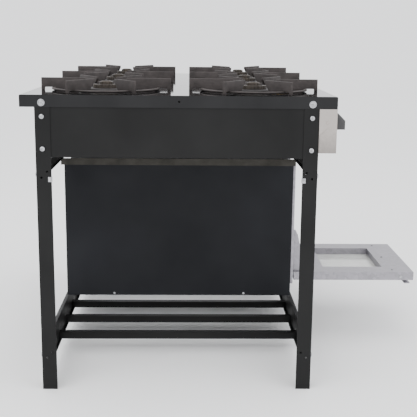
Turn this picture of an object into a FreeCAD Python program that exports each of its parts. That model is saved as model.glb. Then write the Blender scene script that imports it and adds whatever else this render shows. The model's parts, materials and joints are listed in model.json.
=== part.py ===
"""Six-burner gas stand with an oven under its middle module.

Sizes are millimetres. +X runs along the width, -Y is the front with the knobs, +Z is up from the floor.
"""
import FreeCAD, Part
import math
import os
import re
import Sketcher

DIMENSIONS = {
    "table_width": 1125, "table_depth": 780, "table_height": 766, "top_gauge": 1.5, "module_gap": 0.6,
    "rim_drop": 30, "seam_drop": 20, "rim_fillet": 3, "rim_hole": 2.5,
    "leg_flange": 38, "leg_gauge": 2, "front_overhang": 44, "rear_overhang": 36,
    "sheet_gauge": 1.5, "lip": 9, "corner_room": 12, "apron_low": 612, "apron_high": 739,
    "midrail_low": 553, "midrail_high": 585, "bearer_height": 19.5, "bearer_width": 20,
    "shelf_low": 38, "shelf_high": 123, "shelf_bar": 20, "shelf_pitch": 142.5,
    "bolt_radius": 4, "bolt_inset": 17.5, "head_radius": 6.5, "head_height": 5, "nut_height": 5,
    "spare_hole": 3, "clip_height": 13, "clip_depth": 10, "clip_gauge": 1.5,
    "grate_gap": 48, "grate_height": 32, "grate_tip": 54, "fin_width": 7, "fin_lift": 2,
    "foot_width": 9, "arch_length": 26, "arch_height": 7, "fin_shoulder": 9, "tie_play": 5, "tie_width": 11,
    "tie_height": 6, "burner_radius": 55, "burner_rise": 6,
    "tier_radius": 35, "tier_rise": 10, "crown_radius": 18, "crown_rise": 8, "seat_radius": 26,
    "seat_depth": 12, "seat_play": 0.5, "mixer_radius": 14, "mixer_bore": 10.5,
    "mixer_shift": 27, "elbow_swell": 1.5,
    "bar_width": 25, "bar_gauge": 4, "bar_spread": 42, "panel_height": 109, "panel_gauge": 1.2,
    "valve_height": 696, "valve_radius": 11, "valve_inset": 6, "valve_length": 34, "neck_radius": 6,
    "outlet_radius": 5, "injector_radius": 7, "injector_length": 10, "injector_inset": 28,
    "feed_set_forward": 22, "stem_radius": 4, "stem_hole": 5, "stem_grip": 14, "stem_gap": 0.3,
    "knob_radius": 23, "knob_depth": 35.5, "knob_gap": 1.5, "skirt_depth": 3, "grip_width": 8,
    "pipe_radius": 10.65, "pipe_bore": 8, "pipe_height": 648,
    "pipe_inset": 22, "socket_radius": 13.5, "socket_length": 22, "inlet_bore": 9.3,
    "oven_width": 350, "oven_length": 682, "oven_set_back": 5, "oven_low": 135, "frame_low": 173,
    "frame_depth": 7,
    "oven_gauge": 1.2, "liner_gap": 27, "liner_low": 188, "liner_back": 34, "liner_top_gap": 17,
    "rack_height": 330, "wire": 3, "oven_burner_radius": 12.5, "feed_radius": 5, "feed_clear": 14,
    "feed_set_back": 40, "oven_burner_rise": 26,
    "door_width": 349, "door_length": 365.5, "door_depth": 25, "door_gap": 3.5, "door_gauge": 1,
    "window_width": 228, "window_length": 183, "window_start": 98, "glass_gauge": 4,
    "hinge_height": 202.5, "hinge_inset": 6.5, "arm_inset": 14, "arm_gauge": 3, "arm_reach": 135, "pin_radius": 3,
    "pin_play": 0.05, "notch_width": 16, "handle_length": 300,
    "handle_stand": 18, "handle_set_in": 3,
}
MODULES = ("left", "middle", "right")
RAIL_BOLT_HEIGHTS = (566, 90)
SIDE_BOLT_HEIGHTS = (747, 713, 633)
SPARE_HOLES = ((576, 27), (561, 13), (101, 27), (87, 13))
CLIP_HEIGHT = 550
SHELF_BARS = 5
GRATE_FINS = 6
RACK_WIRES = 11

doc = FreeCAD.newDocument("burner_stand")
sheet = doc.addObject("Spreadsheet::Sheet", "Dim")
for row, (alias, value) in enumerate(DIMENSIONS.items(), start=1):
    sheet.set(f"A{row}", alias)
    sheet.set(f"B{row}", str(value))
    sheet.setAlias(f"B{row}", alias)
doc.recompute()

# The front reach of the open door and the rear rim set where the middle of the whole thing lies.
LEG_FRONT = "(table_depth / 2 - front_overhang)"
LEG_REAR = "(table_depth / 2 - rear_overhang)"
TOP_SIDE = "(table_width / 2 - module_gap / 2)"
LEG_SIDE = f"({TOP_SIDE} - top_gauge)"
OVEN_FACE = f"({LEG_FRONT} - oven_set_back)"
SHELL_FRONT = f"({OVEN_FACE} - frame_depth)"
FRAME_BACK = f"({OVEN_FACE} - oven_gauge)"
OVEN_BACK = f"(oven_length - {OVEN_FACE})"
DOOR_EDGE = f"({OVEN_FACE} + door_gap)"
HINGE_Y = f"({DOOR_EDGE} + hinge_inset)"
DOOR_LOW = "(hinge_height + hinge_inset - door_depth)"
CENTRE_Y = f"(({DOOR_EDGE} + door_length - table_depth / 2) / 2)"
PANEL_FACE = "(table_depth / 2)"
OVEN_TOP = "(midrail_low - bearer_height)"
UNDER_TOP = "(table_height - top_gauge)"
BURNER_SEAT = "(apron_high - sheet_gauge)"
BODY_TOP = "(table_height + burner_rise)"
PITCH = "(table_width / 3)"
BURNER_Y = "(table_depth / 4)"
GRATE_RADIUS = f"({BURNER_Y} - grate_gap / 2)"
WELL_RADIUS = f"({GRATE_RADIUS} - foot_width - arch_length - fin_shoulder)"
TIE_RADIUS = f"({WELL_RADIUS} + tie_play)"
INJECTOR_END = f"({LEG_FRONT} - injector_inset)"
FEED_X = "(oven_width / 2 + feed_clear)"

nodes = []


def bound(text):
    """Turn sheet aliases in a formula into references to the sheet."""
    return re.sub(r"[a-z_]+", lambda word: f"Dim.{word[0]}" if word[0] in DIMENSIONS else word[0], str(text))


def number(text):
    """Work a formula out from the sheet's values."""
    return float(sheet.evalExpression(bound(text)))


def bind(item, **formulas):
    for key, formula in formulas.items():
        item.setExpression(key, bound(formula))
    return item


def put(item, x, y, z):
    """Place an item by its formulas, with y measured from the middle of the table."""
    item.setExpression("Placement.Base.x", bound(x))
    item.setExpression("Placement.Base.y", bound(f"{y} + {CENTRE_Y}"))
    item.setExpression("Placement.Base.z", bound(z))
    return item


def box(x, y, z, length, width, height):
    item = doc.addObject("Part::Box", "Block")
    bind(item, Length=length, Width=width, Height=height)
    return put(item, x, y, z)


TURNS = {"x": (FreeCAD.Vector(0, 1, 0), 90), "y": (FreeCAD.Vector(1, 0, 0), -90), "z": (FreeCAD.Vector(0, 0, 1), 0)}


def rod(x, y, z, radius, length, along="z"):
    """A cylinder that starts at a point and runs along +x, +y or +z."""
    item = doc.addObject("Part::Cylinder", "Rod")
    item.Placement = FreeCAD.Placement(FreeCAD.Vector(), FreeCAD.Rotation(*TURNS[along]))
    bind(item, Radius=radius, Height=length)
    return put(item, x, y, z)


def ball(x, y, z, radius):
    return put(bind(doc.addObject("Part::Sphere", "Ball"), Radius=radius), x, y, z)


def join(items, label=None):
    result = doc.addObject("Part::MultiFuse", "Joined")
    result.Shapes = items
    return keep(result, label)


def cut(base, tools, label=None):
    result = doc.addObject("Part::Cut", "Cut")
    result.Base = base
    result.Tool = tools[0] if len(tools) == 1 else join(tools)
    return keep(result, label)


def group(items, label):
    """Separate like pieces kept in one node."""
    result = doc.addObject("Part::Compound", "Group")
    result.Links = items
    return keep(result, label)


def keep(item, label):
    if label:
        item.Label = label
        nodes.append(item)
    return item


def plane(body, role):
    return next(feature for feature in body.Origin.OriginFeatures if feature.Role == role)


def outline(body, role, points):
    """A closed sketch through points, each coordinate held to its formula."""
    sketch = body.newObject("Sketcher::SketchObject", "Outline")
    sketch.AttachmentSupport = [(plane(body, role), "")]
    sketch.MapMode = "FlatFace"
    corners = [FreeCAD.Vector(number(a), number(b), 0) for a, b in points]
    for index, corner in enumerate(corners):
        sketch.addGeometry(Part.LineSegment(corner, corners[(index + 1) % len(corners)]), False)
    for index, (a, b) in enumerate(points):
        sketch.addConstraint(Sketcher.Constraint("Coincident", index, 2, (index + 1) % len(points), 1))
        for kind, formula, value in (("DistanceX", a, corners[index].x), ("DistanceY", b, corners[index].y)):
            place = sketch.addConstraint(Sketcher.Constraint(kind, -1, 1, index, 1, value))
            sketch.setExpression(f"Constraints[{place}]", bound(formula))
    return sketch


def new_body(x, y, z, turn=None):
    body = doc.addObject("PartDesign::Body", "Body")
    if turn:
        body.Placement = FreeCAD.Placement(FreeCAD.Vector(), FreeCAD.Rotation(*turn))
    return put(body, x, y, z)


def pad(body, sketch, length, midplane=False):
    feature = body.newObject("PartDesign::Pad", "Pad")
    feature.Profile = sketch
    feature.Midplane = midplane
    bind(feature, Length=length)
    return feature


def revolve(body, sketch):
    feature = body.newObject("PartDesign::Revolution", "Revolution")
    feature.Profile = sketch
    feature.ReferenceAxis = (sketch, ["V_Axis"])
    return feature


def repeat_round(body, features, count):
    pattern = body.newObject("PartDesign::PolarPattern", "Round")
    pattern.Originals = features
    pattern.Axis = (next(f for f in body.Origin.OriginFeatures if f.Role == "Z_Axis"), [""])
    pattern.Angle = 360
    pattern.Occurrences = count
    body.Tip = pattern
    return pattern


def side(sign, distance, depth="0"):
    """The low edge of a plate that is `distance` out on one side and `depth` thick, going inwards."""
    return f"{distance} - {depth}" if sign > 0 else f"-{distance}"


def leg(sx, sy, label):
    """Pressed angle, one face to the side of the table and one to its front or rear."""
    reach = LEG_REAR if sy > 0 else LEG_FRONT
    flat = box(side(sx, LEG_SIDE, "leg_gauge"), side(sy, reach, "leg_flange"), 0, "leg_gauge", "leg_flange", UNDER_TOP)
    turned = box(side(sx, LEG_SIDE, "leg_flange"), side(sy, reach, "leg_gauge"), 0, "leg_flange", "leg_gauge", UNDER_TOP)
    holes = [side_hole(sx, sy, height) for height in SIDE_BOLT_HEIGHTS]
    for height, inset in SPARE_HOLES:
        y = f"{sy} * ({reach} - {inset})"
        holes.append(rod(side(sx, LEG_SIDE, "2 * leg_gauge"), y, height, "spare_hole", "3 * leg_gauge", "x"))
    holes += [rail_hole(sx, sy, height) for height in RAIL_BOLT_HEIGHTS]
    return cut(join([flat, turned]), holes, label)


def bolt_y(sy):
    reach = LEG_REAR if sy > 0 else LEG_FRONT
    return f"{sy} * ({reach} - bolt_inset)"


def side_hole(sx, sy, height):
    x = f"{sx} * {LEG_SIDE} - 3 * leg_gauge"
    return rod(x, bolt_y(sy), height, "bolt_radius", "6 * leg_gauge", "x")


def rail_hole(sx, sy, height):
    reach = LEG_REAR if sy > 0 else LEG_FRONT
    x = f"{sx} * ({LEG_SIDE} - bolt_inset)"
    return rod(x, f"{sy} * {reach} - 3 * leg_gauge", height, "bolt_radius", "6 * leg_gauge", "y")


def side_apron(sx, label):
    """Plate between a pair of legs, with a lip turned in along each long edge."""
    y = f"-{LEG_FRONT} + corner_room"
    length = f"{LEG_FRONT} + {LEG_REAR} - 2 * corner_room"
    face = f"({LEG_SIDE} - leg_gauge)"
    web = box(side(sx, face, "sheet_gauge"), y, "apron_low", "sheet_gauge", length, "apron_high - apron_low")
    lips = [box(side(sx, face, "lip"), y, z, "lip", length, "sheet_gauge")
            for z in ("apron_low", "apron_high - sheet_gauge")]
    holes = [side_hole(sx, sy, height) for sy in (-1, 1) for height in SIDE_BOLT_HEIGHTS[1:]]
    return cut(join([web] + lips), holes, label)


def long_rail(sy, low, high, label, bolt_height=None):
    """Plate across the width behind the legs' faces, with a lip turned in along each long edge."""
    face = f"({LEG_REAR if sy > 0 else LEG_FRONT} - leg_gauge)"
    x = f"-{LEG_SIDE} + leg_gauge"
    length = f"2 * ({LEG_SIDE} - leg_gauge)"
    web = box(x, side(sy, face, "sheet_gauge"), low, length, "sheet_gauge", f"{high} - {low}")
    lips = [box(x, side(sy, face, "lip"), z, length, "lip", "sheet_gauge") for z in (low, f"{high} - sheet_gauge")]
    plate = join([web] + lips)
    if bolt_height is None:
        return keep(plate, label)
    return cut(plate, [rail_hole(sx, sy, bolt_height) for sx in (-1, 1)], label)


def bolt(x, y, z, sign, along, grip):
    """Round-headed bolt and washer outside, nut inside, as one fastener in its hole."""
    def run(start, length, radius):
        low = f"{start}" if sign < 0 else f"-({start}) - ({length})"
        spot = (f"{x} + {low}", y, z) if along == "x" else (x, f"{y} + {low}", z)
        return rod(*spot, radius, length, along)
    head = run("-head_height", "head_height", "head_radius")
    shank = run("0", f"{grip} + nut_height + 2", "bolt_radius")
    nut = run(grip, "nut_height", "head_radius")
    return join([head, shank, nut])


def clip_nut(sx, sy):
    """Spring clip pushed over the inner edge of a leg's side face."""
    reach = LEG_REAR if sy > 0 else LEG_FRONT
    edge = f"({reach} - leg_flange)"
    x = side(sx, f"({LEG_SIDE} + clip_gauge)", "(leg_gauge + 2 * clip_gauge)")
    y = f"{edge} - clip_gauge" if sy > 0 else f"-{edge} - clip_depth + clip_gauge"
    clip = box(x, y, CLIP_HEIGHT, "leg_gauge + 2 * clip_gauge", "clip_depth", "clip_height")
    slot = box(side(sx, LEG_SIDE, "leg_gauge"), side(sy, reach, "leg_flange"), CLIP_HEIGHT, "leg_gauge",
               "leg_flange", "clip_height")
    return cut(clip, [slot])


def frame_bolts():
    """Side bolts through rim, leg and apron, rail bolts through the legs' other faces, and a clip on each leg."""
    bolts = []
    for sx in (-1, 1):
        for sy in (-1, 1):
            reach = LEG_REAR if sy > 0 else LEG_FRONT
            for height in SIDE_BOLT_HEIGHTS:
                top = height == SIDE_BOLT_HEIGHTS[0]
                face = TOP_SIDE if top else LEG_SIDE
                grip = "(top_gauge + leg_gauge)" if top else "(leg_gauge + sheet_gauge)"
                bolts.append(bolt(f"{sx} * {face}", bolt_y(sy), height, sx, "x", grip))
            for height in RAIL_BOLT_HEIGHTS:
                x = f"{sx} * ({LEG_SIDE} - bolt_inset)"
                bolts.append(bolt(x, f"{sy} * {reach}", height, sy, "y", "(leg_gauge + sheet_gauge)"))
            bolts.append(clip_nut(sx, sy))
    group(bolts, "frame_bolts")


def frame():
    for sx, across in ((-1, "left"), (1, "right")):
        for sy, depth in ((-1, "front"), (1, "rear")):
            leg(sx, sy, f"leg_{depth}_{across}")
        side_apron(sx, f"side_apron_{across}")
    long_rail(1, "apron_low", "apron_high", "rear_apron")
    for sy, depth in ((-1, "front"), (1, "rear")):
        long_rail(sy, "midrail_low", "midrail_high", f"mid_rail_{depth}", RAIL_BOLT_HEIGHTS[0])
        long_rail(sy, "shelf_low", "shelf_high", f"shelf_rail_{depth}", RAIL_BOLT_HEIGHTS[1])
    run = f"{OVEN_FACE} + {LEG_REAR} - leg_gauge - sheet_gauge"
    bearers = []
    for sx in (-1, 1):
        x = side(sx, "(oven_width / 2)", "bearer_width")
        upright_x = side(sx, "(oven_width / 2)", "sheet_gauge")
        bearers.append(join([
            box(x, f"-{OVEN_FACE}", OVEN_TOP, "bearer_width", run, "sheet_gauge"),
            box(upright_x, f"-{OVEN_FACE}", OVEN_TOP, "sheet_gauge", run, "bearer_height")]))
    group(bearers, "oven_bearers")
    inner_start = f"-{LEG_FRONT} + leg_gauge + sheet_gauge"
    inner_run = f"{LEG_FRONT} + {LEG_REAR} - 2 * leg_gauge - 2 * sheet_gauge"
    bars = []
    for index in range(SHELF_BARS):
        x = f"{index - SHELF_BARS // 2} * shelf_pitch - shelf_bar / 2"
        outer = box(x, inner_start, "shelf_low + sheet_gauge", "shelf_bar", inner_run, "shelf_bar")
        hollow = box(f"{x} + sheet_gauge", inner_start, "shelf_low + 2 * sheet_gauge", "shelf_bar - 2 * sheet_gauge",
                     inner_run, "shelf_bar - 2 * sheet_gauge")
        bars.append(cut(outer, [hollow]))
    group(bars, "shelf_bars")
    frame_bolts()


def table_top(column, name):
    """One folded pan of the top, with a round well for each of its two burners."""
    x = f"{column} * {PITCH} - {PITCH} / 2 + module_gap / 2"
    width = f"({PITCH} - module_gap)"
    y = "-table_depth / 2"
    pan = box(x, y, "table_height - rim_drop", width, "table_depth", "rim_drop")
    rounded = doc.addObject("Part::Fillet", "Rounded")
    rounded.Base = pan
    doc.recompute()
    high = pan.Shape.BoundBox.ZMax
    edges = [index for index, edge in enumerate(pan.Shape.Edges, start=1)
             if abs(edge.BoundBox.ZMin - high) < 1e-6 and edge.BoundBox.XLength > 1]
    rounded.Edges = [(index, number("rim_fillet"), number("rim_fillet")) for index in edges]
    left_wall = "top_gauge"
    tools = [
        box(f"{x} + {left_wall}", f"{y} + top_gauge", "table_height - rim_drop", f"{width} - 2 * top_gauge",
            "table_depth - 2 * top_gauge", "rim_drop - top_gauge")]
    for sx in (-1, 1):
        if sx != column:
            tools.append(box(side(sx, f"({width} / 2)", "2 * top_gauge") + f" + {column} * {PITCH}",
                             f"{y} + top_gauge", "table_height - rim_drop", "2 * top_gauge",
                             "table_depth - 2 * top_gauge", "rim_drop - seam_drop"))
    for sy in (-1, 1):
        tools.append(rod(f"{column} * {PITCH}", f"{sy} * {BURNER_Y}", "table_height - rim_drop",
                         WELL_RADIUS, "2 * rim_drop"))
        if column:
            tools.append(side_hole(column, sy, SIDE_BOLT_HEIGHTS[0]))
    if column:
        tools.append(rod(side(column, LEG_SIDE, "leg_gauge") + " - leg_gauge", "0", "table_height - rim_drop / 2",
                         "rim_hole", "5 * leg_gauge", "x"))
    return cut(rounded, tools, f"table_top_{name}")


def grate(x, y, label):
    """Cast grate: upright fins that point at the burner, tied by a low ring."""
    body = new_body(x, y, "table_height")
    ring = outline(body, "XZ_Plane", [
        (TIE_RADIUS, "fin_lift"), (f"{TIE_RADIUS} + tie_width", "fin_lift"),
        (f"{TIE_RADIUS} + tie_width", "fin_lift + tie_height"), (TIE_RADIUS, "fin_lift + tie_height")])
    revolve(body, ring)
    foot = f"({GRATE_RADIUS} - foot_width)"
    arch_start = f"({foot} - arch_length)"
    fin = outline(body, "YZ_Plane", [
        ("grate_tip", "grate_height - 6"), (f"{TIE_RADIUS} - 28", "fin_lift + 2"), (f"{TIE_RADIUS} - 20", "fin_lift"),
        (arch_start, "fin_lift"), (f"{arch_start} + 4", "arch_height"),
        (f"{foot} - 3", "arch_height"), (foot, "arch_height - 3"), (foot, "0"),
        (GRATE_RADIUS, "0"), (GRATE_RADIUS, "grate_height - 3"),
        (f"{GRATE_RADIUS} - 3", "grate_height"), ("grate_tip", "grate_height")])
    fin_pad = pad(body, fin, "fin_width", midplane=True)
    doc.recompute()
    repeat_round(body, [fin_pad], GRATE_FINS)
    return keep(body, label)


def burner_body(x, y, sy, label):
    """Cast burner: round chamber with a seat for its crown, and a mixing tube to its valve at the front."""
    body = new_body(x, y, BURNER_SEAT)
    top = f"({BODY_TOP} - {BURNER_SEAT})"
    chamber = outline(body, "XZ_Plane", [
        ("0", "0"), ("burner_radius - 14", "0"), ("burner_radius - 5", "8"), ("burner_radius - 5", f"{top} - 12"),
        ("burner_radius", f"{top} - 10"), ("burner_radius", f"{top} - 2"), ("burner_radius - 2", top),
        ("seat_radius", top), ("seat_radius", f"{top} - seat_depth"), ("0", f"{top} - seat_depth")])
    revolve(body, chamber)
    shift = f"{-sy} * mixer_shift"
    drop = f"({BURNER_SEAT} - valve_height)"
    neck = rod(f"{x} + {shift}", y, "valve_height", "mixer_radius - elbow_swell", f"{drop} + 6")
    reach = f"({INJECTOR_END} - 4 + {y})"
    tube = rod(f"{x} + {shift}", f"{y} - {reach}", "valve_height", "mixer_radius", f"{reach} + mixer_radius", "y")
    mouth = rod(f"{x} + {shift}", f"{y} - {reach} - 1", "valve_height", "mixer_bore", f"{reach} * 0.9", "y")
    return cut(join([body, neck, tube]), [mouth], label)


def burner_crown(x, y, label):
    """Stepped crown that drops into the chamber's seat and lifts off for cleaning."""
    body = new_body(x, y, BODY_TOP)
    steps = outline(body, "XZ_Plane", [
        ("0", "2 - seat_depth"), ("seat_radius - seat_play", "2 - seat_depth"), ("seat_radius - seat_play", "0.3"),
        ("tier_radius - 2", "0.3"), ("tier_radius", "2"), ("tier_radius", "tier_rise - 2"),
        ("tier_radius - 2", "tier_rise"), ("crown_radius + 4", "tier_rise"), ("crown_radius", "tier_rise + 1"),
        ("crown_radius", "tier_rise + crown_rise - 2"), ("crown_radius - 3", "tier_rise + crown_rise"),
        ("0", "tier_rise + crown_rise")])
    revolve(body, steps)
    return keep(body, label)


def cooking_top():
    for column, name in zip((-1, 0, 1), MODULES):
        table_top(column, name)
        for sy, row in ((-1, "front"), (1, "rear")):
            x, y = f"{column} * {PITCH}", f"{sy} * {BURNER_Y}"
            grate(x, y, f"grate_{row}_{name}")
            burner_body(x, y, sy, f"burner_{row}_{name}")
            burner_crown(x, y, f"burner_crown_{row}_{name}")
    start = f"-{LEG_SIDE} + leg_gauge + sheet_gauge"
    bars = [box(start, f"{sy} * {BURNER_Y} + {edge} * bar_spread - bar_width / 2",
                f"{BURNER_SEAT} - bar_gauge", f"2 * ({LEG_SIDE} - leg_gauge - sheet_gauge)", "bar_width", "bar_gauge")
            for sy in (-1, 1) for edge in (-1, 1)]
    group(bars, "burner_bars")


def valve_places():
    """Where each knob stands, where its gas has to go, and its name; the six burner knobs are evenly spaced."""
    places = [(f"{column} * {PITCH} + {-sy} * {PITCH} / 4", f"{column} * {PITCH} + {-sy} * mixer_shift",
               f"{row}_{name}")
              for column, name in zip((-1, 0, 1), MODULES) for sy, row in ((-1, "front"), (1, "rear"))]
    return places + [(FEED_X, FEED_X, "oven")]


def knob(x, label):
    """Moulded knob with a skirt and a slant-topped finger grip, holding the end of its valve's stem."""
    body = new_body(x, f"-{PANEL_FACE} - knob_gap", "valve_height", (FreeCAD.Vector(1, 0, 0), 90))
    profile = outline(body, "XZ_Plane", [
        ("stem_radius", "0"), ("knob_radius", "0"), ("knob_radius", "skirt_depth"),
        ("knob_radius * 0.7", "skirt_depth + 2"), ("knob_radius * 0.62", "knob_depth * 0.6"),
        ("0", "knob_depth * 0.6"), ("0", "stem_grip"), ("stem_radius", "stem_grip")])
    revolve(body, profile)
    doc.recompute()
    grip = outline(body, "YZ_Plane", [
        ("-knob_radius * 0.96", "skirt_depth - 1"), ("knob_radius * 0.96", "skirt_depth - 1"),
        ("knob_radius * 0.96", "knob_depth * 0.45"), ("knob_radius * 0.1", "knob_depth"),
        ("-knob_radius * 0.9", "knob_depth")])
    pad(body, grip, "grip_width", midplane=True)
    pocket_sketch = outline(body, "XZ_Plane", [
        ("0", "0"), ("stem_radius", "0"), ("stem_radius", "stem_grip"), ("0", "stem_grip")])
    groove = body.newObject("PartDesign::Groove", "StemHole")
    groove.Profile = pocket_sketch
    groove.ReferenceAxis = (pocket_sketch, ["V_Axis"])
    stem = rod(x, f"-{PANEL_FACE} - knob_gap - stem_grip", "valve_height", "stem_radius",
               "stem_grip + knob_gap + valve_inset - stem_gap", "y")
    return group([body, stem], label)


def valve(x, outlet_x):
    """Plug valve screwed into the top of the pipe, with a tube to the injector at its burner's mouth."""
    pipe_y = f"-{PANEL_FACE} + pipe_inset"
    body_end = f"(-{PANEL_FACE} + valve_inset + valve_length)"
    bend_y = f"(-{INJECTOR_END} - feed_set_forward)"
    pieces = [
        rod(x, f"-{PANEL_FACE} + valve_inset", "valve_height", "valve_radius", "valve_length", "y"),
        rod(x, pipe_y, "pipe_height + pipe_radius - 1", "neck_radius", "valve_height - pipe_height - pipe_radius"),
        rod(outlet_x, f"-{INJECTOR_END} - injector_length", "valve_height", "injector_radius", "injector_length", "y"),
    ]
    if x == outlet_x:
        pieces.append(rod(x, body_end, "valve_height", "outlet_radius",
                          f"-{INJECTOR_END} - injector_length - {body_end}", "y"))
    else:
        left, right = sorted((x, outlet_x), key=number)
        pieces += [
            rod(x, body_end, "valve_height", "outlet_radius", f"{bend_y} + outlet_radius - {body_end}", "y"),
            rod(left, bend_y, "valve_height", "outlet_radius - 1", f"{right} - ({left})", "x"),
            rod(outlet_x, f"{bend_y} - outlet_radius", "valve_height", "outlet_radius",
                "feed_set_forward + outlet_radius - injector_length", "y"),
        ]
    return join(pieces)


def gas_train():
    places = valve_places()
    y = f"-{PANEL_FACE} + pipe_inset"
    start = "-(table_width / 2 - 24)"
    end = "(table_width / 2 - socket_length)"
    pipe = rod(start, y, "pipe_height", "pipe_radius", "table_width - 24 - socket_length", "x")
    socket = rod(end, y, "pipe_height", "socket_radius", "socket_length", "x")
    bore = rod(f"{start} + 3", y, "pipe_height", "pipe_bore", "table_width", "x")
    inlet = rod(f"{end} + 4", y, "pipe_height", "inlet_bore", "table_width", "x")
    seats = [rod(x, y, "pipe_height + pipe_radius - 1", "neck_radius", "8") for x, _, _ in places]
    cut(join([pipe, socket]), [bore, inlet] + seats, "gas_manifold")
    group([valve(x, outlet_x) for x, outlet_x, _ in places], "gas_valves")
    for x, _, name in places:
        knob(x, f"knob_{name}")
    low, height = "(table_height - rim_drop - 0.5 - panel_height)", "panel_height"
    depth = f"({PANEL_FACE} - {LEG_FRONT})"
    inner = "(table_width - 2 * panel_gauge)"
    outer = box(f"-{inner} / 2", f"-{PANEL_FACE}", low, inner, depth, height)
    inside = box(f"-{inner} / 2 - 1", f"-{PANEL_FACE} + panel_gauge", f"{low} + panel_gauge", f"{inner} + 2", depth,
                 f"{height} - 2 * panel_gauge")
    holes = [rod(x, f"-{PANEL_FACE} - 1", "valve_height", "stem_hole", "4", "y") for x, _, _ in places]
    cut(outer, [inside] + holes, "control_panel")
    ends = []
    for sx in (-1, 1):
        x = side(sx, "(table_width / 2)", "panel_gauge")
        plate = box(x, f"-{PANEL_FACE}", low, "panel_gauge", depth, height)
        hole = rod(f"{x} - 1", y, "pipe_height", "socket_radius", "4", "x")
        ends.append(cut(plate, [hole]) if sx > 0 else plate)
    group(ends, "panel_ends")


def oven():
    """Outer shell, cooking liner, front frame, rack, burner and its feed pipe."""
    half, front = "(oven_width / 2)", SHELL_FRONT
    shell_length = f"({OVEN_BACK} + {front})"
    burner_z = "(oven_low + oven_burner_rise)"
    feed_y = f"(-{LEG_FRONT} + feed_set_back)"
    outer = box(f"-{half}", f"-{front}", "oven_low", "oven_width", shell_length, f"{OVEN_TOP} - oven_low")
    hollow = box(f"-{half} + oven_gauge", f"-{front} - 1", "oven_low + oven_gauge", "oven_width - 2 * oven_gauge",
                 f"{shell_length} + 1 - oven_gauge", f"{OVEN_TOP} - oven_low - 2 * oven_gauge")
    feed_hole = rod(f"{half} - 5", feed_y, burner_z, "feed_radius", "10", "x")
    cut(outer, [hollow, feed_hole], "oven_shell")
    inner_x, inner_w = f"(-{half} + liner_gap)", "(oven_width - 2 * liner_gap)"
    inner_h = f"({OVEN_TOP} - liner_top_gap - liner_low)"
    inner_l = f"({FRAME_BACK} + {OVEN_BACK} - liner_back)"
    wall = box(inner_x, f"-{FRAME_BACK}", "liner_low", inner_w, inner_l, inner_h)
    room = box(f"{inner_x} + oven_gauge", f"-{FRAME_BACK} - 1", "liner_low + oven_gauge",
               f"{inner_w} - 2 * oven_gauge", f"{inner_l} + 1 - oven_gauge", f"{inner_h} - 2 * oven_gauge")
    ledges = [box(side(sx, "(oven_width / 2 - liner_gap - oven_gauge / 2)", "9"), f"-{front} + 20", z, "9",
                  f"{inner_l} - 40", "oven_gauge")
              for sx in (-1, 1) for z in ("rack_height - wire - oven_gauge", "rack_height + 70")]
    vents = [box(f"{index} * 40 - 4", f"-{front} + 60", "liner_low - 1", "8", f"{inner_l} - 120", "4")
             for index in (-2, 2)]
    cut(join([cut(wall, [room])] + ledges), vents, "oven_liner")
    pan = box(f"-{half}", f"-{OVEN_FACE}", "frame_low", "oven_width", "frame_depth", f"{OVEN_TOP} - frame_low")
    behind = box(f"-{half} + oven_gauge", f"-{FRAME_BACK}", "frame_low + oven_gauge", "oven_width - 2 * oven_gauge",
                 "frame_depth", f"{OVEN_TOP} - frame_low - 2 * oven_gauge")
    mouth = box(f"{inner_x} + oven_gauge", f"-{OVEN_FACE} - 1", "liner_low + oven_gauge",
                f"{inner_w} - 2 * oven_gauge", "4", f"{inner_h} - 2 * oven_gauge")
    slots = [box(f"{sx} * ({half} - arm_inset) - arm_gauge", f"-{OVEN_FACE} - 1", "hinge_height - 12",
                 "2 * arm_gauge", "4", "arm_reach + 16") for sx in (-1, 1)]
    cut(pan, [behind, mouth] + slots, "oven_front_frame")
    rack_w, rack_l = f"({inner_w} - 2 * oven_gauge - 6)", f"({inner_l} - 60)"
    rack_y = f"(-{front} + 25)"
    wires = [rod(f"{sx} * ({rack_w} / 2 - wire)", rack_y, "rack_height", "wire", rack_l, "y") for sx in (-1, 1)]
    wires += [rod(f"-{rack_w} / 2 + wire", f"{rack_y} + wire + {index} * ({rack_l} - 2 * wire) / {RACK_WIRES - 1}",
                  "rack_height", "wire * 0.8", f"{rack_w} - 2 * wire", "x") for index in range(RACK_WIRES)]
    join(wires, "oven_rack")
    tube = rod(0, f"-{front} + 30", burner_z, "oven_burner_radius", "oven_length - 110", "y")
    inlet = rod(0, feed_y, burner_z, "feed_radius + 2", f"{half} - 8", "x")
    join([tube, inlet], "oven_burner")
    join([
        rod(FEED_X, feed_y, burner_z, "feed_radius", f"valve_height - {burner_z}"),
        rod(f"{half} - 8", feed_y, burner_z, "feed_radius", "feed_clear + 8", "x"),
        ball(FEED_X, feed_y, burner_z, "feed_radius + elbow_swell"),
        ball(FEED_X, feed_y, "valve_height", "feed_radius + elbow_swell"),
        rod(FEED_X, f"-{INJECTOR_END}", "valve_height", "feed_radius", f"{feed_y} + {INJECTOR_END}", "y"),
    ], "oven_feed_pipe")


def hinge_profile():
    """Side view of an arm about its pivot: foot on the door, sloping stay and hooked end."""
    face = "hinge_inset"
    return [("-38", face), ("-10", face), ("-10", "-5"), ("-5", "-6.5"), ("4", "-6"), ("6.5", "0"), ("6.5", "24"),
            ("13", "70"), ("22", "arm_reach - 16"), ("22", "arm_reach + 9"),
            (f"{face} + door_gap + oven_gauge + 0.6", "arm_reach + 9"),
            (f"{face} + door_gap + oven_gauge + 0.6", "arm_reach - 1"), ("4", "arm_reach"),
            ("-4", "arm_reach - 16"), ("-26", f"{face} + 12"), ("-38", f"{face} + 8")]


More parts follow.
